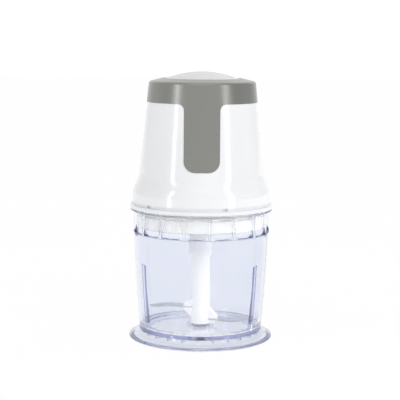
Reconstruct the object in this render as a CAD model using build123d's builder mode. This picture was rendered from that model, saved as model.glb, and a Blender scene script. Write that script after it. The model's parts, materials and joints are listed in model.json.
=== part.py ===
from build123d import *
import math
import os

# Mini food processor: a clear bowl with a foot, a blade standing on a pin in it, a lid that carries
# the blade's upper bearing, and a motor head that is pressed from above. Millimetres, +Z up, the
# front is at -Y, and the origin is the centre of the ring that the bowl stands on.
# Front angles are measured about +Z from the front (-Y) towards +X.

# ---- driving dimensions ------------------------------------------------------------------------
FOOT_R, FOOT_LOW, FOOT_EDGE = 63.2, 1.0, 0.8  # outer radius, underside and edge of the bowl's foot
FLARE = ((63.0, 11.2), 9.0, 11.2)  # centre, and outer and inner radius, of the foot's flare
GRIP = (58.9, 62.6)  # inner and outer radius of the anti-slip ring
WALL = 2.6  # bowl wall
BOWL_LOW = (54.0, 11.2)  # (radius, height) of the wall's outside, low, middle and high
BOWL_MID = (56.8, 46.0)
BOWL_TOP = (58.9, 93.7)
FLOOR_LOW, FLOOR_HIGH, FLOOR_R = 7.4, 10.0, 47.0  # the bowl's floor, and its flat part's radius
CORNER_R, CORNER_TOP = 50.2, 15.0  # the rounded corner between floor and wall: middle and top
BOSS_LOW_R, BOSS_TOP_R, BOSS_TOP = 8.4, 6.2, 13.4  # the boss that holds the pin
GUSSETS, GUSSET = 16, (5.0, 0.8, 2.0)  # the crown round it: length, width and height
BOWL_TURN = -2.6  # how far the bowl is turned on its axis, in degrees
POCKETS, POCKET_FIRST = 17, 20.2  # pockets round the bowl's neck, and the first one's front angle
POCKET_Z = (94.6, 112.6)
POCKET_WIDTH = 19.6
POCKET_CORNERS = ((9.6, 7.2), (1.6, 1.0))  # (width, height) of the lower corners, inside and outside
POCKET_RAMP = 0.6  # how much higher the pocket's lower edge lies on its floor
FIN_TOP, FIN_DEPTH, FIN_T = 70.5, 2.2, 1.6  # three upright fins on the inside of the wall
NECK_LOW, NECK_R, POCKET_FLOOR_R, NECK_BORE_R = 94.4, 59.8, 57.9, 56.7
LIP_R, LIP_TOP = 62.4, 115.7  # the flat lip that carries the lid
PIN_R, PIN_LOW, PIN_TOP = 3.0, 8.2, 46.0  # the steel pin that the blade turns on

SPINDLE_R, SPINDLE_LOW, SPINDLE_TOP = 8.0, 12.4, 91.5
JOURNAL_R, JOURNAL_TOP = 6.5, 103.6  # its upper end, which turns in the lid's bush
HEX_FLATS, HEX_TOP = 9.0, 113.2  # the drive end of the blade
BLADE_TIP_R, BLADE_T = 46.0, 1.2
UPPER_BLADE_Z, LOWER_BLADE_Z = 26.0, 15.6
BLADE_ANGLE = -8.0  # rest angle of the blade about +Z

LID_PLATE = (101.0, 103.2)  # heights of the lid's plate
LID_R, LID_SKIRT_R, LID_SKIRT_LOW, LID_TOP = 62.6, 55.9, 99.4, 119.0
SEAL_DEPTH, SEAL_Z = 1.1, (110.0, 114.0)  # the groove for the lid's seal
LID_HUB_R, LID_HUB_LOW, LID_HUB_TOP = 10.7, 73.5, 104.2
LID_RIM = (57.2, 59.8)  # radii of the raised rim that carries the head
NOTCH_ANGLES = (-48.0, 19.5, 132.0, 199.5)  # front angles of the notches in that rim

HEAD_LOW = 121.6  # lower edge of the motor head
SHELL = 2.4  # wall of the head's casing
SKIRT_R, SKIRT_TOP = 60.8, (60.4, 128.6)
CONE_LOW, CONE_SLOPE = (54.8, 145.6), 0.108  # the head narrows by this much per unit of height
BAND_LOW = 208.2  # lower edge of the grey band round the top
TRIM_PROUD, TRIM_T, GAP = 0.4, 1.4, 0.15
LEG_WIDTH, LEG_LOW, LEG_CORNER, LEG_THROAT = 30.2, 151.2, 9.2, 5.3
GLAND_Z, CORD_R = 161.0, 3.6  # the cord entry at the back
VENTS, VENT_LOW, VENT_PITCH = 7, 172.0, 4.4

BUTTON_R, BUTTON_LOW, BUTTON_TOP, BUTTON_T = 33.2, 218.3, 234.5, 2.2
DOME_R = 84.0  # the button's top is part of a sphere
SWITCH_X = 20.0

GEAR_MODULE, PRESSURE = 0.9, 25.0
SUN_TEETH, PLANET_TEETH, RING_TEETH = 12, 18, 48
PLANETS = 3
GEAR_LOW, GEAR_HIGH = 130.3, 138.3
PLANET_ORBIT = GEAR_MODULE * (SUN_TEETH + PLANET_TEETH) / 2
GEARBOX_R = 28.0
MOTOR_R, MOTOR_LOW, MOTOR_HIGH = 24.5, 142.0, 190.0
SHAFT_R, OUTPUT_R = 2.5, 5.0
RUNNING = 0.05  # radial clearance of every shaft in its bush
SEAT = 0.05  # gap between pieces that stand on one another

BOTTOM = (Align.CENTER, Align.CENTER, Align.MIN)
os.makedirs("parts", exist_ok=True)


# ---- shared helpers ----------------------------------------------------------------------------
def save(piece, label):
    """Names a finished piece and writes it as its own STEP file."""
    piece.part.label = label
    export_step(piece.part, f"parts/{label}.step")


def disc(radius, low, high, mode=Mode.ADD):
    """An upright cylinder between two heights, centred on each active location."""
    with Locations((0, 0, low)):
        Cylinder(radius, high - low, align=BOTTOM, mode=mode)


def polygon(*points):
    """A closed face from (radius, height) corners in the XZ plane, ready to revolve."""
    with BuildSketch(Plane.XZ) as section:
        with BuildLine():
            Polyline(*points, close=True)
        make_face()
    return section.sketch


def ring(outer, inner, low, high):
    """A plain ring round the Z axis between two heights."""
    revolve(polygon((inner, low), (outer, low), (outer, high), (inner, high)), axis=Axis.Z)


def cone_r(height):
    """Outer radius of the head's casing on its straight, conical stretch."""
    return CONE_LOW[0] - CONE_SLOPE * (height - CONE_LOW[1])


def around(count, radius, first=0.0):
    """Locations on a circle, the first at a front angle."""
    return PolarLocations(radius, count, start_angle=first - 90)


def screws(places, head_r, head, shank_r, shank, slot_depth=0.9):
    """Pan-head screws that point up: head and shank are (low, high) heights."""
    with places:
        disc(head_r, *head)
        disc(shank_r, *shank)
    with places:
        with Locations((0, 0, head[0])):
            Box(2 * head_r * 0.7, 0.8, slot_depth, align=BOTTOM, mode=Mode.SUBTRACT)
            Box(0.8, 2 * head_r * 0.7, slot_depth, align=BOTTOM, mode=Mode.SUBTRACT)


def flank_angle(radius, teeth, pitch_half_angle):
    """Half the angle of an involute tooth at a radius."""
    pressure = math.radians(PRESSURE)
    pitch_r = GEAR_MODULE * teeth / 2
    here = math.acos(min(1.0, pitch_r * math.cos(pressure) / radius))
    return pitch_half_angle + (math.tan(pressure) - pressure) - (math.tan(here) - here)


def gear_face(teeth, outward, inward, thinning, first_angle=0.0):
    """The outline of an involute gear, as a face at GEAR_LOW. thinning is the width taken off each
    tooth at the pitch circle; outward and inward are the tooth's heights in modules."""
    pitch_r = GEAR_MODULE * teeth / 2
    tip_r, root_r = pitch_r + outward * GEAR_MODULE, pitch_r - inward * GEAR_MODULE
    base_r = pitch_r * math.cos(math.radians(PRESSURE))
    foot_r = max(root_r, base_r * 1.0005)
    half = math.pi / (2 * teeth) - thinning / (2 * pitch_r)
    step = 2 * math.pi / teeth

    def at(radius, angle):
        return (radius * math.cos(angle), radius * math.sin(angle))

    with BuildSketch(Plane.XY.offset(GEAR_LOW)) as outline:
        with BuildLine():
            for tooth in range(teeth):
                mid = math.radians(first_angle) + tooth * step
                radii = (foot_r, (foot_r + tip_r) / 2, tip_r)
                widths = [flank_angle(r, teeth, half) for r in radii]
                rising = [at(r, mid - w) for r, w in zip(radii, widths)]
                falling = [at(r, mid + w) for r, w in zip(radii, widths)][::-1]
                if foot_r > root_r:
                    Line(at(root_r, mid - widths[0]), rising[0])
                ThreePointArc(*rising)
                ThreePointArc(rising[-1], at(tip_r, mid), falling[0])
                ThreePointArc(*falling)
                if foot_r > root_r:
                    Line(falling[-1], at(root_r, mid + widths[0]))
                ThreePointArc(
                    at(root_r, mid + widths[0]),
                    at(root_r, mid + step / 2),
                    at(root_r, mid + step - widths[0]),
                )
        make_face()
    return outline.sketch


# ---- bowl --------------------------------------------------------------------------------------
def pocket_face(radius, low, corner):
    """The pocket's outline in a plane in front, with elliptical lower corners (width, height)."""
    side, (corner_w, corner_h) = POCKET_WIDTH / 2, corner
    bend = low + corner_h
    with BuildSketch(Plane.XZ.offset(radius)) as face:
        with BuildLine():
            EllipticalCenterArc((side - corner_w, bend), *corner, start_angle=270, arc_size=90)
            EllipticalCenterArc((corner_w - side, bend), *corner, start_angle=180, arc_size=90)
            Line((corner_w - side, low), (side - corner_w, low))
            Polyline((side, bend), (side, POCKET_Z[1]), (-side, POCKET_Z[1]), (-side, bend))
        make_face()
    return face.sketch


with BuildPart() as pocket_cutter:  # one pocket, at the front, outside the pocket's floor radius
    pocket_inside = pocket_face(POCKET_FLOOR_R - 0.9, POCKET_Z[0] + POCKET_RAMP, POCKET_CORNERS[0])
    pocket_outside = pocket_face(NECK_R - 0.6, POCKET_Z[0], POCKET_CORNERS[1])
    loft([pocket_inside, pocket_outside])
    extrude(pocket_outside, amount=4)
    disc(POCKET_FLOOR_R, POCKET_Z[0] - 3, POCKET_Z[1] + 1, mode=Mode.SUBTRACT)

with BuildPart() as rib_fin:  # one fin on the inside of the bowl's wall, at the front
    with BuildSketch(Plane.YZ):
        with BuildLine():
            Polyline(
                (-(BOWL_TOP[0] - 1.8), FIN_TOP),
                (-(BOWL_LOW[0] - 0.8), FLOOR_HIGH - 1),
                (-(BOWL_LOW[0] - WALL - FIN_DEPTH - 1.2), FLOOR_HIGH - 1),
                (-(BOWL_MID[0] - WALL - FIN_DEPTH), BOWL_MID[1]),
                (-(BOWL_MID[0] - WALL - FIN_DEPTH + 1.0), FIN_TOP - 3.4),
                close=True,
            )
        make_face()
    extrude(amount=FIN_T / 2, both=True)


def flare_at(radius, height):
    """The point at a height on one of the foot's two flare arcs."""
    return (FLARE[0][0] - math.sqrt(radius**2 - (FLARE[0][1] - height) ** 2), height)


with BuildPart() as bowl_shape:
    with BuildSketch(Plane.XZ) as wall_section:
        with BuildLine():
            flare_low = flare_at(FLARE[2], FLOOR_LOW)
            flare_end = flare_at(FLARE[2], FOOT_LOW)
            Line((0, FLOOR_LOW), flare_low)
            ThreePointArc(flare_low, flare_at(FLARE[2], 3.2), flare_end)
            Polyline(
                flare_end,
                (FOOT_R - 0.4, FOOT_LOW),
                (FOOT_R, FOOT_LOW + 0.4),
                (FOOT_R, FOOT_LOW + FOOT_EDGE),
                (FLARE[0][0], FLARE[0][1] - FLARE[1]),
            )
            ThreePointArc((FLARE[0][0], FLARE[0][1] - FLARE[1]), flare_at(FLARE[1], 4.8), BOWL_LOW)
            ThreePointArc(BOWL_LOW, BOWL_MID, BOWL_TOP)
            Polyline(
                BOWL_TOP,
                (NECK_R, NECK_LOW),
                (NECK_R, POCKET_Z[1]),
                (LIP_R - 0.5, LIP_TOP - 2.2),
                (LIP_R, LIP_TOP - 1.7),
                (LIP_R, LIP_TOP - 0.4),
                (LIP_R - 0.4, LIP_TOP),
                (NECK_BORE_R + 0.8, LIP_TOP),
                (NECK_BORE_R, LIP_TOP - 0.8),
                (NECK_BORE_R, NECK_LOW + 1),
                (BOWL_TOP[0] - WALL, BOWL_TOP[1] - 2),
            )
            wall_foot = (BOWL_LOW[0] - WALL + 0.4, CORNER_TOP)
            ThreePointArc(
                (BOWL_TOP[0] - WALL, BOWL_TOP[1] - 2), (BOWL_MID[0] - WALL, BOWL_MID[1]), wall_foot
            )
            ThreePointArc(wall_foot, (CORNER_R, FLOOR_HIGH + 1.6), (FLOOR_R, FLOOR_HIGH))
            Polyline((FLOOR_R, FLOOR_HIGH), (0, FLOOR_HIGH), (0, FLOOR_LOW))
        make_face()
    revolve(axis=Axis.Z)
    with around(POCKETS, 0, 90 + POCKET_FIRST):
        add(pocket_cutter.part, mode=Mode.SUBTRACT)
    for angle in (-60, 60, 180):
        add(rib_fin.part, rotation=(0, 0, angle))
    revolve(
        polygon(
            (0, FLOOR_HIGH - 0.5), (BOSS_LOW_R, FLOOR_HIGH - 0.5), (BOSS_TOP_R, BOSS_TOP), (0, BOSS_TOP)
        ),
        axis=Axis.Z,
    )
    with around(GUSSETS, BOSS_LOW_R + 1.0):
        with Locations((0, 0, FLOOR_HIGH - 0.4)):
            Box(GUSSET[0], GUSSET[1], GUSSET[2] + 0.4, align=BOTTOM)
    disc(PIN_R, PIN_LOW, BOSS_TOP + 1, mode=Mode.SUBTRACT)

with BuildPart() as bowl:
    add(bowl_shape.part, rotation=(0, 0, BOWL_TURN))
save(bowl, "bowl")

with BuildPart() as bowl_pin:
    disc(PIN_R, PIN_LOW, PIN_TOP)
    chamfer(bowl_pin.edges().group_by(Axis.Z)[-1], 0.8)
save(bowl_pin, "bowl_pin")

with BuildPart() as anti_slip_ring:  # glued under the foot's edge
    ring_top = FOOT_LOW - SEAT
    revolve(
        polygon(
            (GRIP[0], ring_top),
            (GRIP[0], 0.4),
            (GRIP[0] + 0.4, 0),
            (GRIP[1] - 0.4, 0),
            (GRIP[1], 0.4),
            (GRIP[1], ring_top),
        ),
        axis=Axis.Z,
    )
save(anti_slip_ring, "anti_slip_ring")

# ---- blade assembly ----------------------------------------------------------------------------
SLEEVE_R, SLEEVE_LOW, SLEEVE_TOP = 4.6, 13.9, 44.0

with BuildPart() as blade_bushing:  # rides up and down on the pin, and the blade turns on it
    ring(SLEEVE_R, PIN_R + RUNNING, SLEEVE_LOW, SLEEVE_TOP)
save(blade_bushing, "blade_bushing")

with BuildPart() as hub_shape:
    disc(SPINDLE_R, SPINDLE_LOW, SPINDLE_TOP)
    chamfer(hub_shape.edges().group_by(Axis.Z)[-1], 0.8)
    disc(JOURNAL_R, SPINDLE_TOP, JOURNAL_TOP)
    # flared foot that carries the two blade roots, one high and one low
    with BuildSketch(Plane.XY.offset(SPINDLE_LOW)):
        Circle(9.6)
    with BuildSketch(Plane.XY.offset(31.0)):
        Circle(SPINDLE_R)
    loft()
    with BuildSketch(Plane.XZ) as roots:
        with BuildLine():
            Polyline(
                (0, SPINDLE_LOW),
                (12.5, SPINDLE_LOW),
                (15.0, 14.2),
                (15.0, 18.0),
                (8.0, 25.0),
                (0, 25.0),
                close=True,
            )
        make_face()
        with BuildLine():
            Polyline(
                (0, 17.0),
                (-6.0, 17.0),
                (-14.0, 24.0),
                (-14.4, 28.6),
                (-8.0, 34.0),
                (0, 34.0),
                close=True,
            )
        make_face()
    extrude(amount=5.2, both=True)
    disc(SLEEVE_R + RUNNING, 12.0, 48.0, mode=Mode.SUBTRACT)
    disc(7.0, 12.0, 14.2, mode=Mode.SUBTRACT)
    with BuildSketch(Plane.XY.offset(JOURNAL_TOP)):
        RegularPolygon(HEX_FLATS / 2, 6, major_radius=False)
    extrude(amount=HEX_TOP - JOURNAL_TOP)
    chamfer(hub_shape.edges().group_by(Axis.Z)[-1], 0.8)
    for low, side in ((LOWER_BLADE_Z, 1), (UPPER_BLADE_Z, -1)):  # slots for the blades
        with Locations((side * 10.7, 0, low)):
            Box(8.8, 10.6, BLADE_T, align=BOTTOM, mode=Mode.SUBTRACT)

with BuildPart() as blade_hub:
    add(hub_shape.part, rotation=(0, 0, BLADE_ANGLE))
save(blade_hub, "blade_hub")


def sickle(side, low):
    """A curved steel blade that leaves the hub on one side (1 or -1) and sweeps backwards."""
    with BuildPart() as blade:
        with BuildSketch(Plane.XY.offset(low)):
            with BuildLine():
                Line((6.4, -5.2), (13.0, -5.2))
                back = ThreePointArc((13.0, -5.2), (31.0, -10.2), (BLADE_TIP_R - 2, 2.0))
                tip = ThreePointArc(back @ 1, (44.3, 7.2), (40.6, 9.0))
                front = ThreePointArc(tip @ 1, (29.0, 3.8), (15.5, 5.2))
                Polyline(front @ 1, (6.4, 5.2), (6.4, -5.2))
            make_face()
        extrude(amount=BLADE_T)
        # the ground edge follows the blade's long outer curve
        ground = blade.edges().filter_by(GeomType.CIRCLE).group_by(Axis.Z)[-1]
        chamfer(ground.sort_by(SortBy.LENGTH)[-1], length=0.8, length2=2.2)
    return blade


for label, side, low in (
    ("lower_blade", 1, LOWER_BLADE_Z),
    ("upper_blade", -1, UPPER_BLADE_Z),
):
    turned = sickle(side, low)
    with BuildPart() as blade:
        add(turned.part, rotation=(0, 0, BLADE_ANGLE + (0 if side > 0 else 180)))
    save(blade, label)

# ---- lid ---------------------------------------------------------------------------------------
with BuildPart() as lid:
    with BuildSketch(Plane.XZ):
        with BuildLine():
            Polyline(
                (8.6, LID_HUB_LOW),
                (LID_HUB_R, LID_HUB_LOW),
                (LID_HUB_R, LID_PLATE[0] - 5),
                (LID_HUB_R + 5, LID_PLATE[0]),
                (LID_SKIRT_R - 2.2, LID_PLATE[0]),
                (LID_SKIRT_R - 2.2, LID_SKIRT_LOW),
                (LID_SKIRT_R - 0.6, LID_SKIRT_LOW),
                (LID_SKIRT_R, LID_SKIRT_LOW + 0.6),
                (LID_SKIRT_R, SEAL_Z[0]),
                (LID_SKIRT_R - SEAL_DEPTH, SEAL_Z[0]),
                (LID_SKIRT_R - SEAL_DEPTH, SEAL_Z[1]),
                (LID_SKIRT_R, SEAL_Z[1]),
                (LID_SKIRT_R, LIP_TOP + SEAT),
                (LID_R, LIP_TOP + SEAT),
                (LID_R, LID_TOP - 0.6),
                (LID_R - 0.6, LID_TOP),
                (LID_SKIRT_R - 1.8, LID_TOP),
                (LID_SKIRT_R - 2.2, LID_TOP - 0.4),
                (LID_SKIRT_R - 2.2, LID_PLATE[1]),
                (LID_HUB_R + 1.6, LID_PLATE[1]),
                (LID_HUB_R, LID_HUB_TOP),
                (9.2, LID_HUB_TOP),
                (9.2, 92.0),
                (8.6, 92.0),
                close=True,
            )
        make_face()
    revolve(axis=Axis.Z)
    with around(8, 31.5, 22.5):  # stiffening ribs on the plate
        with Locations((0, 0, LID_PLATE[1] - 0.2)):
            Box(40.0, 1.2, 2.6, align=BOTTOM)
    ring(LID_RIM[1], LID_RIM[0], LID_TOP - 0.2, HEAD_LOW - SEAT)
    for angle in NOTCH_ANGLES:
        with around(1, 58.5, angle):
            with Locations((1.0, 0, LID_TOP + 0.4)):
                Box(2.6, 4.4, 4.0, align=BOTTOM, mode=Mode.SUBTRACT)
save(lid, "lid")

with BuildPart() as lid_seal:  # two-lipped silicone ring in the skirt's groove
    revolve(
        polygon(
            (LID_SKIRT_R - SEAL_DEPTH, SEAL_Z[0] + 0.1),
            (LID_SKIRT_R + 0.1, SEAL_Z[0] + 0.1),
            (NECK_BORE_R - 0.1, SEAL_Z[0] + 0.6),
            (LID_SKIRT_R + 0.1, SEAL_Z[0] + 2.0),
            (NECK_BORE_R - 0.1, SEAL_Z[0] + 3.4),
            (LID_SKIRT_R + 0.1, SEAL_Z[1] - 0.1),
            (LID_SKIRT_R - SEAL_DEPTH, SEAL_Z[1] - 0.1),
        ),
        axis=Axis.Z,
    )
save(lid_seal, "lid_seal")

with BuildPart() as lid_bush:  # upper bearing of the blade
    ring(9.2, JOURNAL_R + RUNNING, 92.0, 103.2)
save(lid_bush, "lid_bush")

# ---- motor head: casing, grey trim, bottom cover --------------------------------------------------
COVER_PLATE = (119.8, 122.2)
DECK = (204.0, 206.2)  # the plate that carries the switch
COVER_SCREW_R, GEARBOX_SCREW_R = 45.0, 32.0


def t_shape(grow=0.0):
    """The trim's leg under the start of its band, seen from the front, as a face to extrude."""
    with BuildSketch(Plane.XZ) as outline:
        with Locations((0, LEG_LOW)):
            Rectangle(LEG_WIDTH, 63, align=(Align.CENTER, Align.MIN))
        fillet(outline.vertices().group_by(Axis.Y)[0], LEG_CORNER)
        with Locations((0, BAND_LOW)):
            Rectangle(110, 6, align=(Align.CENTER, Align.MIN))
        throat = outline.vertices().filter_by(
            lambda v: abs(abs(v.X) - LEG_WIDTH / 2) < 0.01 and abs(v.Y - BAND_LOW) < 0.01
        )
        fillet(throat, LEG_THROAT)
        if grow:
            offset(amount=grow)
    return outline.sketch


def cone_skin(outer, inner, low, high):
    """A thin face between two offsets from the casing's cone, ready to revolve."""
    return polygon(
        (cone_r(low) + outer, low),
        (cone_r(high) + outer, high),
        (cone_r(high) - inner, high),
        (cone_r(low) - inner, low),
    )


with BuildPart() as leg_recess:
    revolve(cone_skin(3.0, TRIM_T - TRIM_PROUD + GAP, 149, BAND_LOW + 3), axis=Axis.Z)
    extrude(t_shape(GAP), amount=80, both=True, mode=Mode.INTERSECT)

with BuildPart() as vent_cutter:
    with BuildSketch(Plane.XZ.offset(-40)):
        for row in range(VENTS):
            with Locations((0, VENT_LOW + row * VENT_PITCH)):
                SlotOverall(19, 2.2)
    extrude(amount=-25)

with BuildPart() as housing:
    with BuildSketch(Plane.XZ):
        with BuildLine():
            inner_top = (cone_r(BAND_LOW) - SHELL, BAND_LOW)
            inner_low = (CONE_LOW[0] - SHELL, CONE_LOW[1])
            Line((SKIRT_R - SHELL, HEAD_LOW), (SKIRT_R, HEAD_LOW))
            Line((SKIRT_R, HEAD_LOW), SKIRT_TOP)
            Spline(SKIRT_TOP, CONE_LOW, tangents=((-0.06, 1), (-CONE_SLOPE, 1)))
            Polyline(
                CONE_LOW,
                (cone_r(BAND_LOW - GAP), BAND_LOW - GAP),
                (46.4, BAND_LOW - GAP),
                (46.4, 215.4),
                (45.8, 216.0),
                (44.6, 216.0),
                (44.6, DECK[0]),
                (42.6, DECK[0]),
                (42.6, DECK[0] - 1.6),
                (cone_r(198) - SHELL, 198.0),
                inner_low,
            )
            Spline(
                inner_low,
                (SKIRT_TOP[0] - SHELL, SKIRT_TOP[1]),
                tangents=((CONE_SLOPE, -1), (0.06, -1)),
            )
            Line((SKIRT_TOP[0] - SHELL, SKIRT_TOP[1]), (SKIRT_R - SHELL, HEAD_LOW))
        make_face()
    revolve(axis=Axis.Z)
    with around(3, COVER_SCREW_R, 60):  # screw bosses, each tied to the wall by a web
        disc(4.0, COVER_PLATE[1], 152)
        with Locations((5.0, 0, COVER_PLATE[1] + 6)):
            Box(6.0, 2.0, 152 - COVER_PLATE[1] - 6, align=BOTTOM)
        disc(1.6, COVER_PLATE[1], 140, mode=Mode.SUBTRACT)
    with around(4, 39.05, 45):  # ribs that centre the motor's upper damper
        with Locations((0, 0, 174)):
            Box(21.9, 2.0, 12, align=BOTTOM)
    for side in (-1, 1):  # posts for the cord clamp
        with BuildSketch(Plane.XZ.offset(-43)):
            with Locations((side * 9.5, GLAND_Z)):
                Circle(2.8)
        extrude(amount=-8)
    add(leg_recess.part, mode=Mode.SUBTRACT)
    add(vent_cutter.part, mode=Mode.SUBTRACT)
    with BuildSketch(Plane.XZ.offset(-40)):
        with Locations((0, GLAND_Z)):
            Circle(6.1)
    extrude(amount=-20, mode=Mode.SUBTRACT)
    for side in (-1, 1):
        with BuildSketch(Plane.XZ.offset(-43)):
            with Locations((side * 9.5, GLAND_Z)):
                Circle(1.2)
        extrude(amount=-6, mode=Mode.SUBTRACT)
save(housing, "housing")

with BuildPart() as trim_legs:
    revolve(
        cone_skin(TRIM_PROUD, TRIM_T - TRIM_PROUD, 149, BAND_LOW + 3), axis=Axis.Z
    )
    extrude(t_shape(), amount=80, both=True, mode=Mode.INTERSECT)
    add(vent_cutter.part, mode=Mode.SUBTRACT)
    with BuildSketch(Plane.XZ.offset(-40)):
        with Locations((0, GLAND_Z)):
            Circle(7.15)
    extrude(amount=-20, mode=Mode.SUBTRACT)

with BuildPart() as trim_cap:
    with BuildSketch(Plane.XZ) as band_section:
        with BuildLine():
            band_r = cone_r(BAND_LOW) + TRIM_PROUD
            shoulder = (cone_r(224.2) + TRIM_PROUD, 224.2)
            Line((band_r, BAND_LOW), shoulder)
            ThreePointArc(shoulder, (45.75, 225.75), (44.0, 226.5))
            Line((44.0, 226.5), (36.6, 228.3))
            ThreePointArc((36.6, 228.3), (35.0, 228.3), (34.2, 227.2))
            Polyline(
                (34.2, 227.2),
                (34.2, 220.0),
                (36.4, 220.0),
                (36.4, 226.2),
                (43.4, 224.4),
                (44.7, 222.6),
                (46.6, 216.5),
                (46.6, BAND_LOW),
                (band_r, BAND_LOW),
            )
        make_face()
    revolve(axis=Axis.Z)
    add(trim_legs.part)
save(trim_cap, "trim_cap")

with BuildPart() as bottom_cover:
    ring(LID_RIM[0] - 0.3, 14.0, *COVER_PLATE)
    ring(SKIRT_R - SHELL - 0.3, 50.0, HEAD_LOW + 0.2, COVER_PLATE[1] + 1.6)
    ring(53.2, 50.8, 107.2, COVER_PLATE[0])
    ring(16.0, 14.0, 107.2, COVER_PLATE[0])
    with around(3, GEARBOX_SCREW_R):
        disc(4.0, COVER_PLATE[1], 124.4)
        disc(1.7, COVER_PLATE[0], 124.4, mode=Mode.SUBTRACT)
    with around(3, COVER_SCREW_R, 60):
        disc(1.9, *COVER_PLATE, mode=Mode.SUBTRACT)
save(bottom_cover, "bottom_cover")

with BuildPart() as cover_screws:
    screws(around(3, COVER_SCREW_R, 60), 3.2, (117.9, 119.8), 1.6, (119.8, 136))
save(cover_screws, "cover_screws")

# ---- cord entry ----------------------------------------------------------------------------------
GLAND_FACE = 57.6  # how far back the gland stands

with BuildPart() as cord_gland:
    with BuildSketch(Plane.XZ.offset(-45)):
        with Locations((0, GLAND_Z)):
            Circle(6.0)
    extrude(amount=-8)
    with BuildSketch(Plane.XZ.offset(-53)):
        with Locations((0, GLAND_Z)):
            Circle(7.0)
    extrude(amount=-(GLAND_FACE - 53))
    fillet(cord_gland.edges().group_by(Axis.Y)[-1], 1.6)
    with BuildSketch(Plane.XZ.offset(-40)):
        with Locations((0, GLAND_Z)):
            Circle(CORD_R)
    extrude(amount=-20, mode=Mode.SUBTRACT)
save(cord_gland, "cord_gland")

with BuildPart() as cord_clamp:
    with BuildSketch(Plane.XZ.offset(-40)):
        with Locations((0, GLAND_Z)):
            SlotOverall(27, 7)
        with Locations((9.5, GLAND_Z), (-9.5, GLAND_Z)):
            Circle(1.4, mode=Mode.SUBTRACT)
    extrude(amount=-3)
save(cord_clamp, "cord_clamp")

with BuildPart() as clamp_screws:
    for side in (-1, 1):
        with BuildSketch(Plane.XZ.offset(-38.2)):
            with Locations((side * 9.5, GLAND_Z)):
                Circle(2.5)
        extrude(amount=-1.8)
        with BuildSketch(Plane.XZ.offset(-40)):
            with Locations((side * 9.5, GLAND_Z)):
                Circle(1.2)
        extrude(amount=-8.8)
        with BuildSketch(Plane.XZ.offset(-38.2)):
            with Locations((side * 9.5, GLAND_Z)):
                Rectangle(3.4, 0.7)
                Rectangle(0.7, 3.4)
        extrude(amount=-0.9, mode=Mode.SUBTRACT)
save(clamp_screws, "clamp_screws")

# ---- gearbox -------------------------------------------------------------------------------------
GEARBOX_LOW, GEARBOX_FLOOR, GEARBOX_TOP = 124.4, 126.8, 140.0
RING_R = 25.6
BUSH_R = 8.0

with BuildPart() as gearbox_housing:
    disc(GEARBOX_R, GEARBOX_LOW, GEARBOX_TOP)
    with around(3, GEARBOX_SCREW_R):
        disc(4.0, GEARBOX_LOW, GEARBOX_TOP)
        with Locations((-3.5, 0, GEARBOX_LOW)):
            Box(5.0, 8.0, GEARBOX_TOP - GEARBOX_LOW, align=BOTTOM)
        disc(1.5, GEARBOX_LOW, GEARBOX_TOP, mode=Mode.SUBTRACT)
    disc(RING_R, GEARBOX_FLOOR, GEARBOX_TOP, mode=Mode.SUBTRACT)
    disc(10.5, 119.2, GEARBOX_FLOOR)
    disc(BUSH_R, 119.2, GEARBOX_FLOOR, mode=Mode.SUBTRACT)
save(gearbox_housing, "gearbox_housing")

with BuildPart() as output_bush:
    ring(BUSH_R, OUTPUT_R + RUNNING, 119.2, GEARBOX_FLOOR)
save(output_bush, "output_bush")

with BuildPart() as ring_gear:
    disc(RING_R, GEAR_LOW, GEAR_HIGH + 0.3)
    extrude(
        gear_face(RING_TEETH, 1.15, 0.9, -0.06, first_angle=180 / RING_TEETH),
        amount=GEAR_HIGH - GEAR_LOW + 1,
        mode=Mode.SUBTRACT,
    )
save(ring_gear, "ring_gear")

with BuildPart() as planet_carrier:
    disc(18.4, 127.2, 130.0)
    disc(OUTPUT_R, 114.4, 127.2)
    with PolarLocations(PLANET_ORBIT, PLANETS):
        disc(2.0, 127.2, 130.0, mode=Mode.SUBTRACT)
save(planet_carrier, "planet_carrier")

with BuildPart() as planet_pins:
    with PolarLocations(PLANET_ORBIT, PLANETS):
        disc(2.0, 127.3, GEAR_HIGH + 0.3)
save(planet_pins, "planet_pins")

for index in range(PLANETS):
    turn = 360 / PLANETS * index
    with BuildPart() as planet:
        extrude(
            gear_face(PLANET_TEETH, 0.9, 1.15, 0.06, first_angle=180 / PLANET_TEETH),
            amount=GEAR_HIGH - GEAR_LOW,
        )
        disc(2.0 + RUNNING, GEAR_LOW, GEAR_HIGH, mode=Mode.SUBTRACT)
    with BuildPart() as placed_planet:
        with PolarLocations(PLANET_ORBIT, 1, start_angle=turn):
            add(planet.part)
    save(placed_planet, f"planet_gear_{index + 1}")

with BuildPart() as gearbox_cover:
    disc(GEARBOX_R, GEARBOX_TOP, MOTOR_LOW)
    with around(3, GEARBOX_SCREW_R):
        disc(4.0, GEARBOX_TOP, MOTOR_LOW)
        with Locations((-3.5, 0, GEARBOX_TOP)):
            Box(5.0, 8.0, MOTOR_LOW - GEARBOX_TOP, align=BOTTOM)
        disc(1.5, GEARBOX_TOP, MOTOR_LOW, mode=Mode.SUBTRACT)
    disc(7.0, GEARBOX_TOP, MOTOR_LOW, mode=Mode.SUBTRACT)
    with around(2, 16.0, 90):
        disc(1.5, GEARBOX_TOP, MOTOR_LOW, mode=Mode.SUBTRACT)
save(gearbox_cover, "gearbox_cover")

with BuildPart() as gearbox_screws:
    screws(around(3, GEARBOX_SCREW_R), 3.0, (118.0, 119.8), 1.5, (119.8, MOTOR_LOW - 0.2))
save(gearbox_screws, "gearbox_screws")

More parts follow.
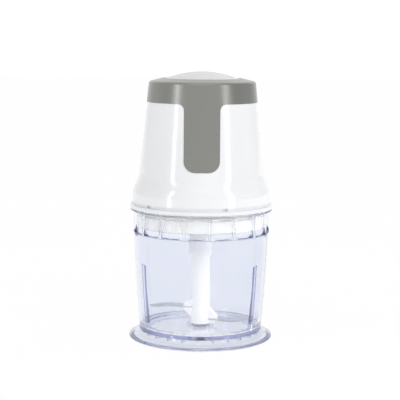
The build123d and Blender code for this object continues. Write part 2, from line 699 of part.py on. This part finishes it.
with BuildPart() as drive_coupler:
    disc(11.0, 104.8, 118.6)
    chamfer(drive_coupler.edges(), 0.8)
    with BuildSketch(Plane.XY.offset(104.8)):
        RegularPolygon(HEX_FLATS / 2 + 0.15, 6, major_radius=False, rotation=BLADE_ANGLE)
    extrude(amount=9.2, mode=Mode.SUBTRACT)
    disc(OUTPUT_R, 114.4, 118.6, mode=Mode.SUBTRACT)
save(drive_coupler, "drive_coupler")

with BuildPart() as lower_damper:
    ring(27.0, 19.0, COVER_PLATE[1], GEARBOX_LOW)
save(lower_damper, "lower_damper")

# ---- motor ---------------------------------------------------------------------------------------
ROTOR_R, ROTOR_LOW, ROTOR_HIGH = 17.5, 152.0, 178.0
COMMUTATOR_R, COMMUTATOR_Z = 7.0, (182.6, 189.4)
ROTOR_SLOTS = 12

with BuildPart() as motor_can:
    disc(MOTOR_R, MOTOR_LOW, MOTOR_HIGH)
    disc(MOTOR_R - 1.6, MOTOR_LOW + 2, MOTOR_HIGH, mode=Mode.SUBTRACT)
    disc(6.0, MOTOR_LOW, MOTOR_LOW + 2, mode=Mode.SUBTRACT)
    with around(2, 16.0, 90):
        disc(1.5, MOTOR_LOW, MOTOR_LOW + 2, mode=Mode.SUBTRACT)
save(motor_can, "motor_can")

with BuildPart() as motor_screws:
    screws(around(2, 16.0, 90), 2.6, (138.9, GEARBOX_TOP), 1.5, (GEARBOX_TOP, 145.0), 0.6)
save(motor_screws, "motor_screws")

with BuildPart() as magnets:
    ring(MOTOR_R - 1.7, ROTOR_R + 0.9, 149.0, 181.0)
    with Locations((0, 0, 149.0)):
        Box(18, 60, 32, align=BOTTOM, mode=Mode.SUBTRACT)
save(magnets, "magnets")

with BuildPart() as motor_end_cap:
    disc(MOTOR_R, MOTOR_HIGH, 192.6)
    disc(8.5, 192.6, 197.2)
    for side in (-1, 1):  # brush holders, hollow for the brush and its spring
        with Locations((side * 14.6, 0, 182.0)):
            Box(11.6, 7.4, MOTOR_HIGH - 182.0, align=BOTTOM)
        with Locations((side * 14.0, 0, 183.4)):
            Box(11.4, 5.2, 5.2, align=BOTTOM, mode=Mode.SUBTRACT)
    disc(5.0, MOTOR_HIGH, 197.2, mode=Mode.SUBTRACT)
save(motor_end_cap, "motor_end_cap")

with BuildPart() as brushes:
    for side in (-1, 1):
        with Locations((side * (COMMUTATOR_R + RUNNING + 2.75), 0, 183.5)):
            Box(5.5, 5.0, 5.0, align=BOTTOM)
save(brushes, "brushes")

with BuildPart() as brush_spring:  # one spring, lying along +X from the brush to the holder's end
    with BuildLine():
        coil = Helix(pitch=1.5, height=6.0, radius=1.7, center=(12.95, 0, 186.0), direction=(1, 0, 0))
    with BuildSketch(Plane(origin=coil @ 0, z_dir=coil % 0)):
        Circle(0.3)
    sweep(is_frenet=True)

with BuildPart() as brush_springs:
    with PolarLocations(0, 2):
        add(brush_spring.part)
save(brush_springs, "brush_springs")

for label, low, high, outer in (
    ("lower_motor_bush", GEARBOX_TOP + 0.4, 146.6, 6.0),
    ("upper_motor_bush", 190.4, 197.0, 5.0),
):
    with BuildPart() as bush:
        ring(outer, SHAFT_R + RUNNING, low, high)
    save(bush, label)

with BuildPart() as motor_shaft:
    disc(SHAFT_R, GEAR_LOW, 203.4)
    chamfer(motor_shaft.edges(), 0.3)
save(motor_shaft, "motor_shaft")

with BuildPart() as sun_gear:
    extrude(gear_face(SUN_TEETH, 0.9, 1.15, 0.06), amount=GEAR_HIGH - GEAR_LOW)
    disc(SHAFT_R, GEAR_LOW, GEAR_HIGH, mode=Mode.SUBTRACT)
save(sun_gear, "sun_gear")

with BuildPart() as rotor_core:
    ring(ROTOR_R, SHAFT_R, ROTOR_LOW, ROTOR_HIGH)
    with PolarLocations(ROTOR_R, ROTOR_SLOTS):
        with Locations((-4.2, 0, ROTOR_LOW)):
            Box(6.4, 4.0, ROTOR_HIGH - ROTOR_LOW, align=BOTTOM, mode=Mode.SUBTRACT)
        with Locations((0, 0, ROTOR_LOW)):
            Box(4.0, 1.4, ROTOR_HIGH - ROTOR_LOW, align=BOTTOM, mode=Mode.SUBTRACT)
save(rotor_core, "rotor_core")

with BuildPart() as rotor_windings:
    ring(16.0, 5.0, 147.4, ROTOR_LOW)
    ring(16.0, 5.0, ROTOR_HIGH, 181.6)
    with PolarLocations(ROTOR_R, ROTOR_SLOTS):  # the copper in the slots joins the two ends
        with Locations((-4.2, 0, ROTOR_LOW)):
            Box(6.0, 3.6, ROTOR_HIGH - ROTOR_LOW, align=BOTTOM)
    fillet(rotor_windings.edges().filter_by(GeomType.CIRCLE).group_by(Axis.Z)[0], 1.6)
save(rotor_windings, "rotor_windings")

with BuildPart() as commutator:
    ring(COMMUTATOR_R, SHAFT_R, *COMMUTATOR_Z)
    with PolarLocations(COMMUTATOR_R, ROTOR_SLOTS, start_angle=15):
        with Locations((0, 0, COMMUTATOR_Z[0] + 0.8)):
            Box(1.6, 0.4, 6.0, align=BOTTOM, mode=Mode.SUBTRACT)
save(commutator, "commutator")

with BuildPart() as cooling_fan:
    disc(4.6, 197.6, 203.2)
    ring(20.5, 2.6, 197.6, 198.8)
    with PolarLocations(12.0, 9):
        with Locations(Location((0, 0, 198.6), (0, 0, 28))):
            Box(15.0, 1.2, 4.4, align=BOTTOM)
    disc(SHAFT_R, 197.6, 203.2, mode=Mode.SUBTRACT)
save(cooling_fan, "cooling_fan")

with BuildPart() as upper_damper:
    ring(28.0, MOTOR_R, 175.0, 185.0)
save(upper_damper, "upper_damper")

# ---- switch deck and button -------------------------------------------------------------------------
SPRING_R, SPRING_WIRE, SPRING_TURNS = 7.0, 0.55, 6
SPRING_FLOOR, SPRING_SEAT = 208.8, 230.2  # what the spring stands on and what it lifts
SPRING_LOW = SPRING_FLOOR + SPRING_WIRE + SEAT
SPRING_TOP = SPRING_SEAT - SPRING_WIRE - SEAT

with BuildPart() as switch_carrier:
    disc(44.2, *DECK)
    with PolarLocations(31.0, 3, start_angle=30):  # air holes
        disc(7.5, *DECK, mode=Mode.SUBTRACT)
    disc(10.0, DECK[1], SPRING_FLOOR)
    disc(5.8, SPRING_FLOOR, 214.0)
    for y in (-20, 20):
        for x in (-30, -16):
            with Locations((x, y, DECK[1])):
                Cylinder(2.2, 1.3, align=BOTTOM)
save(switch_carrier, "switch_carrier")

with BuildPart() as circuit_board:
    with BuildSketch(Plane.XY.offset(DECK[1] + 1.3)):
        with Locations((-23, 0)):
            RectangleRounded(22, 52, 2)
    extrude(amount=1.6)
save(circuit_board, "circuit_board")

BOARD_TOP = DECK[1] + 2.9
with BuildPart() as board_components:  # rectifier, suppression capacitor, fuse
    with Locations((-20, -14, BOARD_TOP)):
        Box(11, 9, 3.4, align=BOTTOM)
    with Locations((-20, 4, BOARD_TOP)):
        Box(9, 15, 9.0, align=BOTTOM)
    fillet(board_components.edges().group_by(Axis.Z)[-1], 0.8)
    with Locations((-20, 18, BOARD_TOP)):
        Cylinder(2.6, 7.0, align=BOTTOM)
save(board_components, "board_components")

PLUNGER_R, PLUNGER_TOP, SWITCH_TOP = 1.8, 218.0, 213.4
with BuildPart() as switch_body:
    with Locations((SWITCH_X, 0, DECK[1])):
        Box(10.4, 20.0, SWITCH_TOP - DECK[1], align=BOTTOM)
    fillet(switch_body.edges().filter_by(Axis.Z), 0.8)
    with Locations((SWITCH_X, 0, 0)):
        disc(PLUNGER_R + 0.1, 207.6, SWITCH_TOP, mode=Mode.SUBTRACT)
save(switch_body, "switch_body")

with BuildPart() as switch_plunger:
    with Locations((SWITCH_X, 0, 0)):
        disc(PLUNGER_R, 212.0, PLUNGER_TOP)
    fillet(switch_plunger.edges().group_by(Axis.Z)[-1], 0.6)
save(switch_plunger, "switch_plunger")

with BuildPart() as button_spring:
    with BuildLine():
        turns = Helix(
            pitch=(SPRING_TOP - SPRING_LOW) / SPRING_TURNS,
            height=SPRING_TOP - SPRING_LOW,
            radius=SPRING_R,
            center=(0, 0, SPRING_LOW),
        )
    with BuildSketch(Plane(origin=turns @ 0, z_dir=turns % 0)):
        Circle(SPRING_WIRE)
    sweep(is_frenet=True)
save(button_spring, "button_spring")


def dome_at(radius, depth):
    """A point of the button's domed top at a radius, or that far under it."""
    drop = DOME_R - math.sqrt(DOME_R**2 - radius**2)
    return (radius, BUTTON_TOP - depth - drop)


with BuildPart() as button:
    with BuildSketch(Plane.XZ):
        with BuildLine():
            ThreePointArc((0, BUTTON_TOP), dome_at(16, 0), (31.4, dome_at(31.4, 0)[1]))
            ThreePointArc((31.4, dome_at(31.4, 0)[1]), (32.8, 227.8), (BUTTON_R, 226.6))
            Polyline(
                (BUTTON_R, 226.6),
                (BUTTON_R, 219.9),
                (35.6, 219.9),
                (35.6, BUTTON_LOW),
                (31.2, BUTTON_LOW),
                dome_at(31.2, BUTTON_T),
            )
            ThreePointArc(
                dome_at(31.2, BUTTON_T), dome_at(16, BUTTON_T), (0, BUTTON_TOP - BUTTON_T)
            )
            Line((0, BUTTON_TOP - BUTTON_T), (0, BUTTON_TOP))
        make_face()
    revolve(axis=Axis.Z)
    disc(9.6, 226.4, BUTTON_TOP - 1.4)  # collar that centres the spring
    disc(8.3, 226.4, SPRING_SEAT, mode=Mode.SUBTRACT)
    with Locations((SWITCH_X, 0, 0)):  # post that works the switch
        disc(2.6, PLUNGER_TOP + SEAT, BUTTON_TOP - 3.6)
save(button, "button")
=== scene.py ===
import json
import math

import bmesh
import bpy
from mathutils import Matrix, Vector


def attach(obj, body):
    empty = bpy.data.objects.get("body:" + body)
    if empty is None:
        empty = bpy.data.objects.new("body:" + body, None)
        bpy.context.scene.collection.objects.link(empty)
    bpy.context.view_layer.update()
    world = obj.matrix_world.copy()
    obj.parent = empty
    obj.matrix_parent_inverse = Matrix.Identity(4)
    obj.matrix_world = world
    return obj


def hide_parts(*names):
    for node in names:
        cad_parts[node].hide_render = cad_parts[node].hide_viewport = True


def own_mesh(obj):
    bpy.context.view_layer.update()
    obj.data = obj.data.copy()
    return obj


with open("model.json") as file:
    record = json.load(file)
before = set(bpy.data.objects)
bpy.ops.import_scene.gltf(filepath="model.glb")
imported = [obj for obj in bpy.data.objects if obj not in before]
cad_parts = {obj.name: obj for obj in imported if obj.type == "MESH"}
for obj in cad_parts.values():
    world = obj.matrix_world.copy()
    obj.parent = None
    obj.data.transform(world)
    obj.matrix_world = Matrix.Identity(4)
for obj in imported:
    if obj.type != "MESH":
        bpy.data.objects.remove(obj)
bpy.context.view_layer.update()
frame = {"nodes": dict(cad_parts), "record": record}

# ---- the camera: places in metres, lens and sensor in millimetres --------------------------------
CAMERA_AWAY = 1.1  # horizontal distance from the object's axis
CAMERA_UP = 0.262
CAMERA_ROLL = math.radians(0.5)
AIM = Vector((-0.0012, 0.0, 0.1216))
LENS = 113.2
SENSOR = 36.0

# ---- the studio ----------------------------------------------------------------------------------
# Its brightness in reflections and clear plastic, by side, where its back is 1. Each change runs
# between two values of the direction's X or Y, from -1 at the left or the front to 1.
MIRROR_FRONT, MIRROR_LEFT, MIRROR_RIGHT = 0.6, 0.65, 0.35
FRONT_TO_BACK = (-0.4, 0.5)
LEFT_TO_MIDDLE, MIDDLE_TO_RIGHT = (-0.9, -0.35), (0.35, 0.9)
# its brightness on matt surfaces, from left to right
MATT_LEFT, MATT_RIGHT = 0.54, 1.04
LEFT_TO_RIGHT = (-0.9, 0.7)
# Light that reaches a matt surface through this many clear faces, on the way in from the camera and
# out to the studio, is raised by this much over 1, by colour. It makes up for what the bowl takes.
CLEAR_FACES = 4
MATT_INSIDE = (4.3, 4.0, 3.4)
SEEN_WHITE = 1.05  # what the camera sees behind the object
LIGHT_BOUNCES = 96  # light goes round inside the clear wall many times
SOFTBOXES = (  # name, place and the point that it is aimed at, width, height, watts
    ("left_box", (-1.01, -0.76, 0.4), (0, 0, 0.13), 0.16, 1.1, 2.1),
    ("right_box", (0.97, -0.82, 0.45), (0, 0, 0.13), 0.24, 1.2, 2.2),
    ("top_box", (0.0, -0.8, 1.5), (0, 0, 0.1), 1.2, 1.2, 1.5),
)

# ---- the clear bowl, in metres -------------------------------------------------------------------
BOWL_CLEAR, BOWL_DENSITY = (0.2, 0.25, 0.65, 1), 9.0  # what its plastic lets through, and how fast
BOWL_TINTS = (0.81, 0.835, 0.895), (0.83, 0.85, 0.91)  # of its surface, which varies between the two
WALL_SLOPE, WALL_RADIUS = 0.062, 0.0499  # inside of the wall: radius = slope * height + this radius
FIN_LOW, FIN_TOP, FIN_PAINTED_SHADE = 0.0165, 0.0725, (0.2, 0.2, 0.4)  # the fins lie within that wall; their dark tint is painted shade for their edge-on look
FOOT_RADIUS, FOOT_TOP, FOOT_TINT = 0.0545, 0.0085, (0.68, 0.71, 0.8)  # the flare is outside and below
FOOT_SHARE = 0.9  # how much of the foot's tint covers the bowl's own
NECK_LOW, NECK_TINT = 0.0965, (0.87, 0.89, 0.925)  # the neck is above this height
FLOOR_RADIUS, FLOOR_TOP, FLOOR_TINT = 0.0505, 0.0115, (0.96, 0.97, 0.985)  # the floor's plate
# the floor ribs' tints: painted shade, a deeper colour for their dark look seen edge on
RIB_SHADE_TINTS = (0.74, 0.76, 0.87), (0.78, 0.8, 0.9)

# The ribs under the floor: the first one's angle, then the inner radius, outer radius, half width
# and height of a rib's lower and upper face, and how far its edges are rounded.
RIBS = 24
RIB_TURN = math.radians(-92.6)
RIB_LOW = (0.044, 0.0517, 0.0004, 0.0040)
RIB_TOP = (0.043, 0.0512, 0.0006, 0.00735)
RIB_ROUND = 0.00012


# ---- materials -----------------------------------------------------------------------------------
class Look:
    """A node material under construction: its tree, its Principled shader and an object-space vector."""

    def __init__(self, name):
        self.material = bpy.data.materials.new(name)
        self.material.use_nodes = True
        self.tree = self.material.node_tree
        self.shader = self.tree.nodes["Principled BSDF"]
        self.output = self.tree.nodes["Material Output"]
        self.place = self.add("ShaderNodeTexCoord").outputs["Object"]

    def add(self, kind, **settings):
        node = self.tree.nodes.new(kind)
        for key, value in settings.items():
            setattr(node, key, value)
        return node

    def link(self, source, target):
        self.tree.links.new(source, target)

    def set(self, **values):
        """Sets the shader's own sockets; an underscore in a name stands for a space."""
        for key, value in values.items():
            self.shader.inputs[key.replace("_", " ")].default_value = value

    def noise(self, scale, detail=3.0, stretch=None):
        """A noise texture in object space, in features per metre, stretched along the axes if asked."""
        vector = self.place
        if stretch:
            mapping = self.add("ShaderNodeMapping")
            mapping.inputs["Scale"].default_value = stretch
            self.link(vector, mapping.inputs["Vector"])
            vector = mapping.outputs["Vector"]
        node = self.add("ShaderNodeTexNoise")
        node.inputs["Scale"].default_value = scale
        node.inputs["Detail"].default_value = detail
        node.inputs["Roughness"].default_value = 0.55
        self.link(vector, node.inputs["Vector"])
        return node.outputs["Fac"]

    def math(self, operation, *values):
        """A calculation on sockets and numbers."""
        node = self.add("ShaderNodeMath", operation=operation)
        for value, target in zip(values, node.inputs):
            if isinstance(value, float):
                target.default_value = value
            else:
                self.link(value, target)
        return node.outputs["Value"]

    def ramp(self, factor, low, high):
        """A change from one colour to another over the middle of a factor's range."""
        node = self.add("ShaderNodeValToRGB")
        for end, position, colour in zip(node.color_ramp.elements, (0.35, 0.65), (low, high)):
            end.position = position
            end.color = (*colour, 1)
        self.link(factor, node.inputs["Fac"])
        return node.outputs["Color"]

    def cover(self, base, colour, factor):
        """A base colour with another over it, as far as the factor says."""
        node = self.add("ShaderNodeMix", data_type="RGBA")
        self.link(factor, node.inputs["Factor"])
        self.link(base, node.inputs["A"])
        node.inputs["B"].default_value = (*colour, 1)
        return node.outputs["Result"]

    def spread(self, factor, low, high):
        """A factor of 0 to 1 mapped to a range of values."""
        node = self.add("ShaderNodeMapRange")
        node.inputs["To Min"].default_value = low
        node.inputs["To Max"].default_value = high
        self.link(factor, node.inputs["Value"])
        return node.outputs["Result"]

    def bump(self, height, depth, strength, below=None):
        """A bump of a depth in metres, on top of another bump if given."""
        node = self.add("ShaderNodeBump")
        node.inputs["Strength"].default_value = strength
        node.inputs["Distance"].default_value = depth
        self.link(height, node.inputs["Height"])
        if below is not None:
            self.link(below, node.inputs["Normal"])
        return node.outputs["Normal"]


def shade(colour, factor):
    """A colour made darker or lighter, up to white."""
    return tuple(min(1.0, c * factor) for c in colour)


def moulded(name, colour, roughness, depth=0.00001, coat=0.0):
    """Moulded plastic: a fine grain of a depth in metres, faint flow marks and an uneven gloss."""
    look = Look(name)
    flow = look.noise(28.0, detail=4.0, stretch=(1, 1, 0.35))
    colours = look.ramp(flow, shade(colour, 0.975), shade(colour, 1.015))
    look.link(colours, look.shader.inputs["Base Color"])
    smear = look.noise(90.0, detail=5.0)
    look.link(look.spread(smear, roughness - 0.03, roughness + 0.03), look.shader.inputs["Roughness"])
    fine = look.bump(look.noise(2500.0, detail=2.0), depth, strength=0.6)
    wave = look.bump(look.noise(45.0, detail=1.0), 0.00004, strength=0.25, below=fine)
    look.link(wave, look.shader.inputs["Normal"])
    look.set(Coat_Weight=coat, Coat_Roughness=0.05, IOR=1.5)
    return look.material


def metal(name, colour, roughness, stretch=(1, 1, 1), scale=1500.0):
    """Bare metal with drawn or turned marks and a slightly uneven polish."""
    look = Look(name)
    marks = look.noise(scale, detail=4.0, stretch=stretch)
    cloud = look.noise(60.0)
    colours = look.ramp(cloud, shade(colour, 0.86), shade(colour, 1.06))
    look.link(colours, look.shader.inputs["Base Color"])
    look.link(look.spread(marks, roughness * 0.6, roughness * 1.5), look.shader.inputs["Roughness"])
    look.link(look.bump(marks, 0.000004, strength=0.7), look.shader.inputs["Normal"])
    look.set(Metallic=1.0)
    return look.material


def painted(name, colour, roughness):
    """Plastic under a satin metallic paint: a fine flake, and reflections of its own colour."""
    look = Look(name)
    flake = look.noise(4200.0, detail=2.0)
    colours = look.ramp(flake, shade(colour, 0.94), shade(colour, 1.05))
    look.link(colours, look.shader.inputs["Base Color"])
    smear = look.noise(70.0, detail=4.0)
    look.link(look.spread(smear, roughness - 0.03, roughness + 0.03), look.shader.inputs["Roughness"])
    look.link(look.bump(flake, 0.000006, strength=0.5), look.shader.inputs["Normal"])
    look.set(Metallic=0.6)
    return look.material


def rubbery(name, colour, roughness=0.75):
    """Rubber, or another dull material such as carbon: cloudy, with a fine rough grain."""
    look = Look(name)
    cloud = look.noise(120.0, detail=5.0)
    colours = look.ramp(cloud, shade(colour, 0.85), shade(colour, 1.2))
    look.link(colours, look.shader.inputs["Base Color"])
    smear = look.noise(200.0)
    look.link(look.spread(smear, roughness - 0.1, roughness + 0.1), look.shader.inputs["Roughness"])
    look.link(look.bump(look.noise(1800.0), 0.00002, strength=0.8), look.shader.inputs["Normal"])
    return look.material


def bowl_colour(look):
    """The bowl's surface colour. Its fins, which are seen edge on, carry painted shade, a dark tint for
    how they look edge on; its foot is tinted, and its neck and floor are clearer than its wall."""
    parts = look.add("ShaderNodeSeparateXYZ")
    look.link(look.place, parts.inputs["Vector"])
    height = parts.outputs["Z"]
    flat = look.add("ShaderNodeCombineXYZ")
    look.link(parts.outputs["X"], flat.inputs["X"])
    look.link(parts.outputs["Y"], flat.inputs["Y"])
    length = look.add("ShaderNodeVectorMath", operation="LENGTH")
    look.link(flat.outputs["Vector"], length.inputs[0])
    radius = length.outputs["Value"]

    def inside(limit):
        return look.math("LESS_THAN", radius, limit)

    def outside(limit):
        return look.math("GREATER_THAN", radius, limit)

    def below(limit):
        return look.math("LESS_THAN", height, limit)

    def above(limit):
        return look.math("GREATER_THAN", height, limit)

    wall = look.math("MULTIPLY_ADD", height, WALL_SLOPE, WALL_RADIUS)
    fin_shade = look.math("MULTIPLY", look.math("MULTIPLY", inside(wall), above(FIN_LOW)), below(FIN_TOP))
    foot = look.math("MULTIPLY", look.math("MULTIPLY", outside(FOOT_RADIUS), FOOT_SHARE), below(FOOT_TOP))
    plate = look.math("MULTIPLY", inside(FLOOR_RADIUS), below(FLOOR_TOP))
    colour = look.ramp(look.noise(25.0), *BOWL_TINTS)
    # painted shade: the fins are darkened for their dark look when seen edge on
    colour = look.cover(colour, FIN_PAINTED_SHADE, fin_shade)
    colour = look.cover(colour, FOOT_TINT, foot)
    colour = look.cover(colour, NECK_TINT, above(NECK_LOW))
    return look.cover(colour, FLOOR_TINT, plate)


def clear_bowl(name):
    """Clear, faintly blue moulded plastic, with a slight haze and slight waves."""
    look = Look(name)
    look.link(bowl_colour(look), look.shader.inputs["Base Color"])
    haze = look.noise(140.0, detail=4.0)
    look.link(look.spread(haze, 0.0, 0.05), look.shader.inputs["Roughness"])
    wave = look.noise(60.0, detail=1.0)
    look.link(look.bump(wave, 0.00003, strength=0.3), look.shader.inputs["Normal"])
    look.set(Transmission_Weight=1.0, IOR=1.52)
    volume = look.add("ShaderNodeVolumeAbsorption")
    volume.inputs["Color"].default_value = BOWL_CLEAR
    volume.inputs["Density"].default_value = BOWL_DENSITY
    look.link(volume.outputs["Volume"], look.output.inputs["Volume"])
    return look.material


def edge_on_shade(name):
    """The bowl's plastic where it is only seen edge on, with painted shade: a deeper tint for its dark
    edge-on look.
    """
    look = Look(name)
    look.link(look.ramp(look.noise(25.0), *RIB_SHADE_TINTS), look.shader.inputs["Base Color"])
    haze = look.noise(140.0, detail=4.0)
    look.link(look.spread(haze, 0.0, 0.1), look.shader.inputs["Roughness"])
    look.set(Transmission_Weight=1.0, IOR=1.52)
    return look.material


def clear_silicone(name, colour):
    """Clear soft silicone with a cloudy, slightly uneven surface."""
    look = Look(name)
    cloud = look.noise(120.0, detail=5.0)
    colours = look.ramp(cloud, shade(colour, 0.97), shade(colour, 1.02))
    look.link(colours, look.shader.inputs["Base Color"])
    look.link(look.spread(cloud, 0.1, 0.3), look.shader.inputs["Roughness"])
    look.link(look.bump(look.noise(1800.0), 0.00001, strength=0.4), look.shader.inputs["Normal"])
    look.set(Transmission_Weight=1.0, IOR=1.41)
    return look.material


LOOKS = {
    "bowl": clear_bowl("clear_bowl"),
    "lid": moulded("lid_white", (0.86, 0.87, 0.89), 0.22, coat=0.3),
    "housing": moulded("housing_white", (0.88, 0.89, 0.91), 0.16, coat=0.6),
    "trim": painted("trim_grey", (0.325, 0.33, 0.31), 0.28),
    "button": moulded("button_grey", (0.74, 0.74, 0.74), 0.34),
    "cover": moulded("cover_cream", (0.74, 0.72, 0.64), 0.4),
    "spindle": moulded("spindle_white", (0.88, 0.88, 0.88), 0.32),
    "bearing_plastic": moulded("acetal_white", (0.8, 0.8, 0.78), 0.4),
    "gear_plastic": moulded("nylon", (0.72, 0.69, 0.58), 0.45),
    "gearbox": moulded("gearbox_black", (0.03, 0.03, 0.033), 0.5, depth=0.00002),
    "dark_plastic": moulded("black_plastic", (0.02, 0.02, 0.022), 0.5, depth=0.00002),
    "component": moulded("component_ochre", (0.5, 0.3, 0.04), 0.25),
    "board": moulded("board_green", (0.02, 0.13, 0.05), 0.35),
    "plunger": moulded("plunger_red", (0.45, 0.03, 0.02), 0.35),
    "carbon": rubbery("carbon", (0.02, 0.02, 0.02), 0.6),
    "rubber": rubbery("rubber_dark", (0.03, 0.03, 0.033)),
    "foot_ring": clear_silicone("silicone_clear", (0.92, 0.93, 0.97)),
    "seal": rubbery("silicone", (0.84, 0.85, 0.87), 0.5),
    "gland": rubbery("gland_grey", (0.5, 0.5, 0.5), 0.6),
    "steel": metal("turned_steel", (0.62, 0.62, 0.64), 0.22, stretch=(1, 1, 12)),
    "blade_steel": metal("ground_steel", (0.8, 0.81, 0.83), 0.24, stretch=(1, 14, 1)),
    "screw_steel": metal("zinc_screw", (0.5, 0.5, 0.51), 0.32),
    "motor_steel": metal("zinc_plate", (0.45, 0.46, 0.48), 0.35, scale=400.0),
    "rotor_iron": metal("laminated_iron", (0.2, 0.2, 0.21), 0.45, stretch=(1, 1, 9)),
    "magnet": metal("ferrite", (0.08, 0.08, 0.085), 0.6),
    "bronze": metal("sintered_bronze", (0.55, 0.38, 0.18), 0.4, scale=2500.0),
    "copper": metal("enamelled_copper", (0.6, 0.25, 0.1), 0.3, stretch=(3, 3, 1)),
}

for part in frame["record"]["subparts"]:
    node = frame["nodes"][part["node"]]
    node.data.materials.clear()
    node.data.materials.append(LOOKS[part["material_slot"]])


# ---- the pieces made here ------------------------------------------------------------------------
def floor_ribs():
    """The small moulded ribs under the floor, just clear of it, as one piece of the bowl."""
    shape = bmesh.new()
    for index in range(RIBS):
        turn = Matrix.Rotation(RIB_TURN + 2 * math.pi * index / RIBS, 4, "Z")
        rows = []
        for inner, outer, half, height in (RIB_LOW, RIB_TOP):
            corners = ((inner, -half), (outer, -half), (outer, half), (inner, half))
            rows.append([shape.verts.new(turn @ Vector((x, y, height))) for x, y in corners])
        low, high = rows
        shape.faces.new(low[::-1])
        shape.faces.new(high)
        for a in range(4):
            b = (a + 1) % 4
            shape.faces.new((low[a], low[b], high[b], high[a]))
    bmesh.ops.bevel(shape, geom=shape.edges[:], offset=RIB_ROUND, segments=2, affect="EDGES")
    mesh = bpy.data.meshes.new("floor_ribs")
    shape.to_mesh(mesh)
    shape.free()
    made = bpy.data.objects.new("floor_ribs", mesh)
    bpy.context.scene.collection.objects.link(made)
    # painted shade: the ribs get a deeper tint for their dark look seen edge on
    mesh.materials.append(edge_on_shade("bowl_rib"))
    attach(made, "bowl")


def return_spring():
    """The button's spring, in its CAD node's shape and place, as a copy of its own that rides with the
    motor head.
    """
    node = frame["nodes"]["button_spring"]
    made = node.copy()
    made.data = node.data.copy()
    made.name = made.data.name = "return_spring"
    bpy.context.scene.collection.objects.link(made)
    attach(made, "motor_head")
    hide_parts("button_spring")
    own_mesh(made)


floor_ribs()
return_spring()


# ---- floor, light and camera ---------------------------------------------------------------------
def floor():
    """A large pale floor. It gives off most of its own light, so that it shows as the photograph's
    white and dims little under the object."""
    bpy.ops.mesh.primitive_circle_add(vertices=96, radius=8.0, fill_type="NGON")
    made = bpy.context.object
    made.name = "floor"
    look = Look("floor_white")
    greys = look.ramp(look.noise(3.0), (0.055, 0.055, 0.056), (0.06, 0.06, 0.06))
    look.link(greys, look.shader.inputs["Base Color"])
    look.set(Roughness=0.9, Specular_IOR_Level=0.0)
    look.set(Emission_Color=(1, 1, 1, 1), Emission_Strength=0.945)
    made.data.materials.append(look.material)


def softbox(name, place, target, width, height, power):
    """A rectangular area light aimed at a point."""
    data = bpy.data.lights.new(name, "AREA")
    data.shape = "RECTANGLE"
    data.size, data.size_y = width, height
    data.energy = power
    made = bpy.data.objects.new(name, data)
    made.location = place
    made.rotation_euler = (Vector(target) - Vector(place)).to_track_quat("-Z", "Y").to_euler()
    bpy.context.scene.collection.objects.link(made)


def surroundings():
    """A white studio. The camera sees white; mirror-like and clear surfaces see it dimmer in front and
    at the sides than behind; matt surfaces are lit more from the right, and more inside the bowl."""
    world = bpy.data.worlds.new("studio")
    bpy.context.scene.world = world
    world.use_nodes = True
    tree = world.node_tree
    tree.nodes.clear()

    def background(colour, strength):
        node = tree.nodes.new("ShaderNodeBackground")
        tree.links.new(colour, node.inputs["Color"])
        tree.links.new(strength, node.inputs["Strength"])
        return node.outputs["Background"]

    def along(axis, start, end, low, high):
        node = tree.nodes.new("ShaderNodeMapRange")
        node.interpolation_type = "SMOOTHSTEP"
        for name, value in (("From Min", start), ("From Max", end), ("To Min", low), ("To Max", high)):
            node.inputs[name].default_value = value
        tree.links.new(parts.outputs[axis], node.inputs["Value"])
        return node.outputs["Result"]

    def choose(factor, no, yes):
        node = tree.nodes.new("ShaderNodeMixShader")
        tree.links.new(factor, node.inputs["Fac"])
        tree.links.new(no, node.inputs[1])
        tree.links.new(yes, node.inputs[2])
        return node.outputs["Shader"]

    place = tree.nodes.new("ShaderNodeTexCoord")
    parts = tree.nodes.new("ShaderNodeSeparateXYZ")
    tree.links.new(place.outputs["Generated"], parts.inputs["Vector"])
    ray = tree.nodes.new("ShaderNodeLightPath")

    sides = tree.nodes.new("ShaderNodeMath")
    sides.operation = "MULTIPLY"
    tree.links.new(along("X", *LEFT_TO_MIDDLE, MIRROR_LEFT, 1.0), sides.inputs[0])
    tree.links.new(along("X", *MIDDLE_TO_RIGHT, 1.0, MIRROR_RIGHT), sides.inputs[1])
    depth = along("Y", *FRONT_TO_BACK, MIRROR_FRONT, 1.0)
    mirrored = background(depth, sides.outputs["Value"])

    inside = tree.nodes.new("ShaderNodeVectorMath")
    inside.operation = "MULTIPLY_ADD"
    tree.links.new(ray.outputs["Transmission Depth"], inside.inputs[0])
    inside.inputs[1].default_value = [share / CLEAR_FACES for share in MATT_INSIDE]
    inside.inputs[2].default_value = (1.0, 1.0, 1.0)
    across = along("X", *LEFT_TO_RIGHT, MATT_LEFT, MATT_RIGHT)
    matt = background(inside.outputs["Vector"], across)

    white = tree.nodes.new("ShaderNodeBackground")
    white.inputs["Color"].default_value = (SEEN_WHITE, SEEN_WHITE, SEEN_WHITE, 1)
    felt = choose(ray.outputs["Diffuse Depth"], mirrored, matt)
    seen = choose(ray.outputs["Is Camera Ray"], felt, white.outputs["Background"])
    output = tree.nodes.new("ShaderNodeOutputWorld")
    tree.links.new(seen, output.inputs["Surface"])


def camera():
    """The camera, a little above the object's top and looking slightly down."""
    data = bpy.data.cameras.new("camera")
    data.sensor_width = SENSOR
    data.lens = LENS
    data.clip_start, data.clip_end = 0.05, 50.0
    made = bpy.data.objects.new("camera", data)
    place = Vector((0.0, -CAMERA_AWAY, CAMERA_UP))
    aim = (AIM - place).to_track_quat("-Z", "Y").to_matrix().to_4x4()
    made.matrix_world = Matrix.Translation(place) @ aim @ Matrix.Rotation(CAMERA_ROLL, 4, "Z")
    bpy.context.scene.collection.objects.link(made)
    bpy.context.scene.camera = made


floor()
surroundings()
for box in SOFTBOXES:
    softbox(*box)
camera()
bpy.context.scene.view_settings.view_transform = "Standard"
light_paths = bpy.context.scene.cycles
for kind in ("max_bounces", "glossy_bounces", "transmission_bounces"):
    setattr(light_paths, kind, LIGHT_BOUNCES)
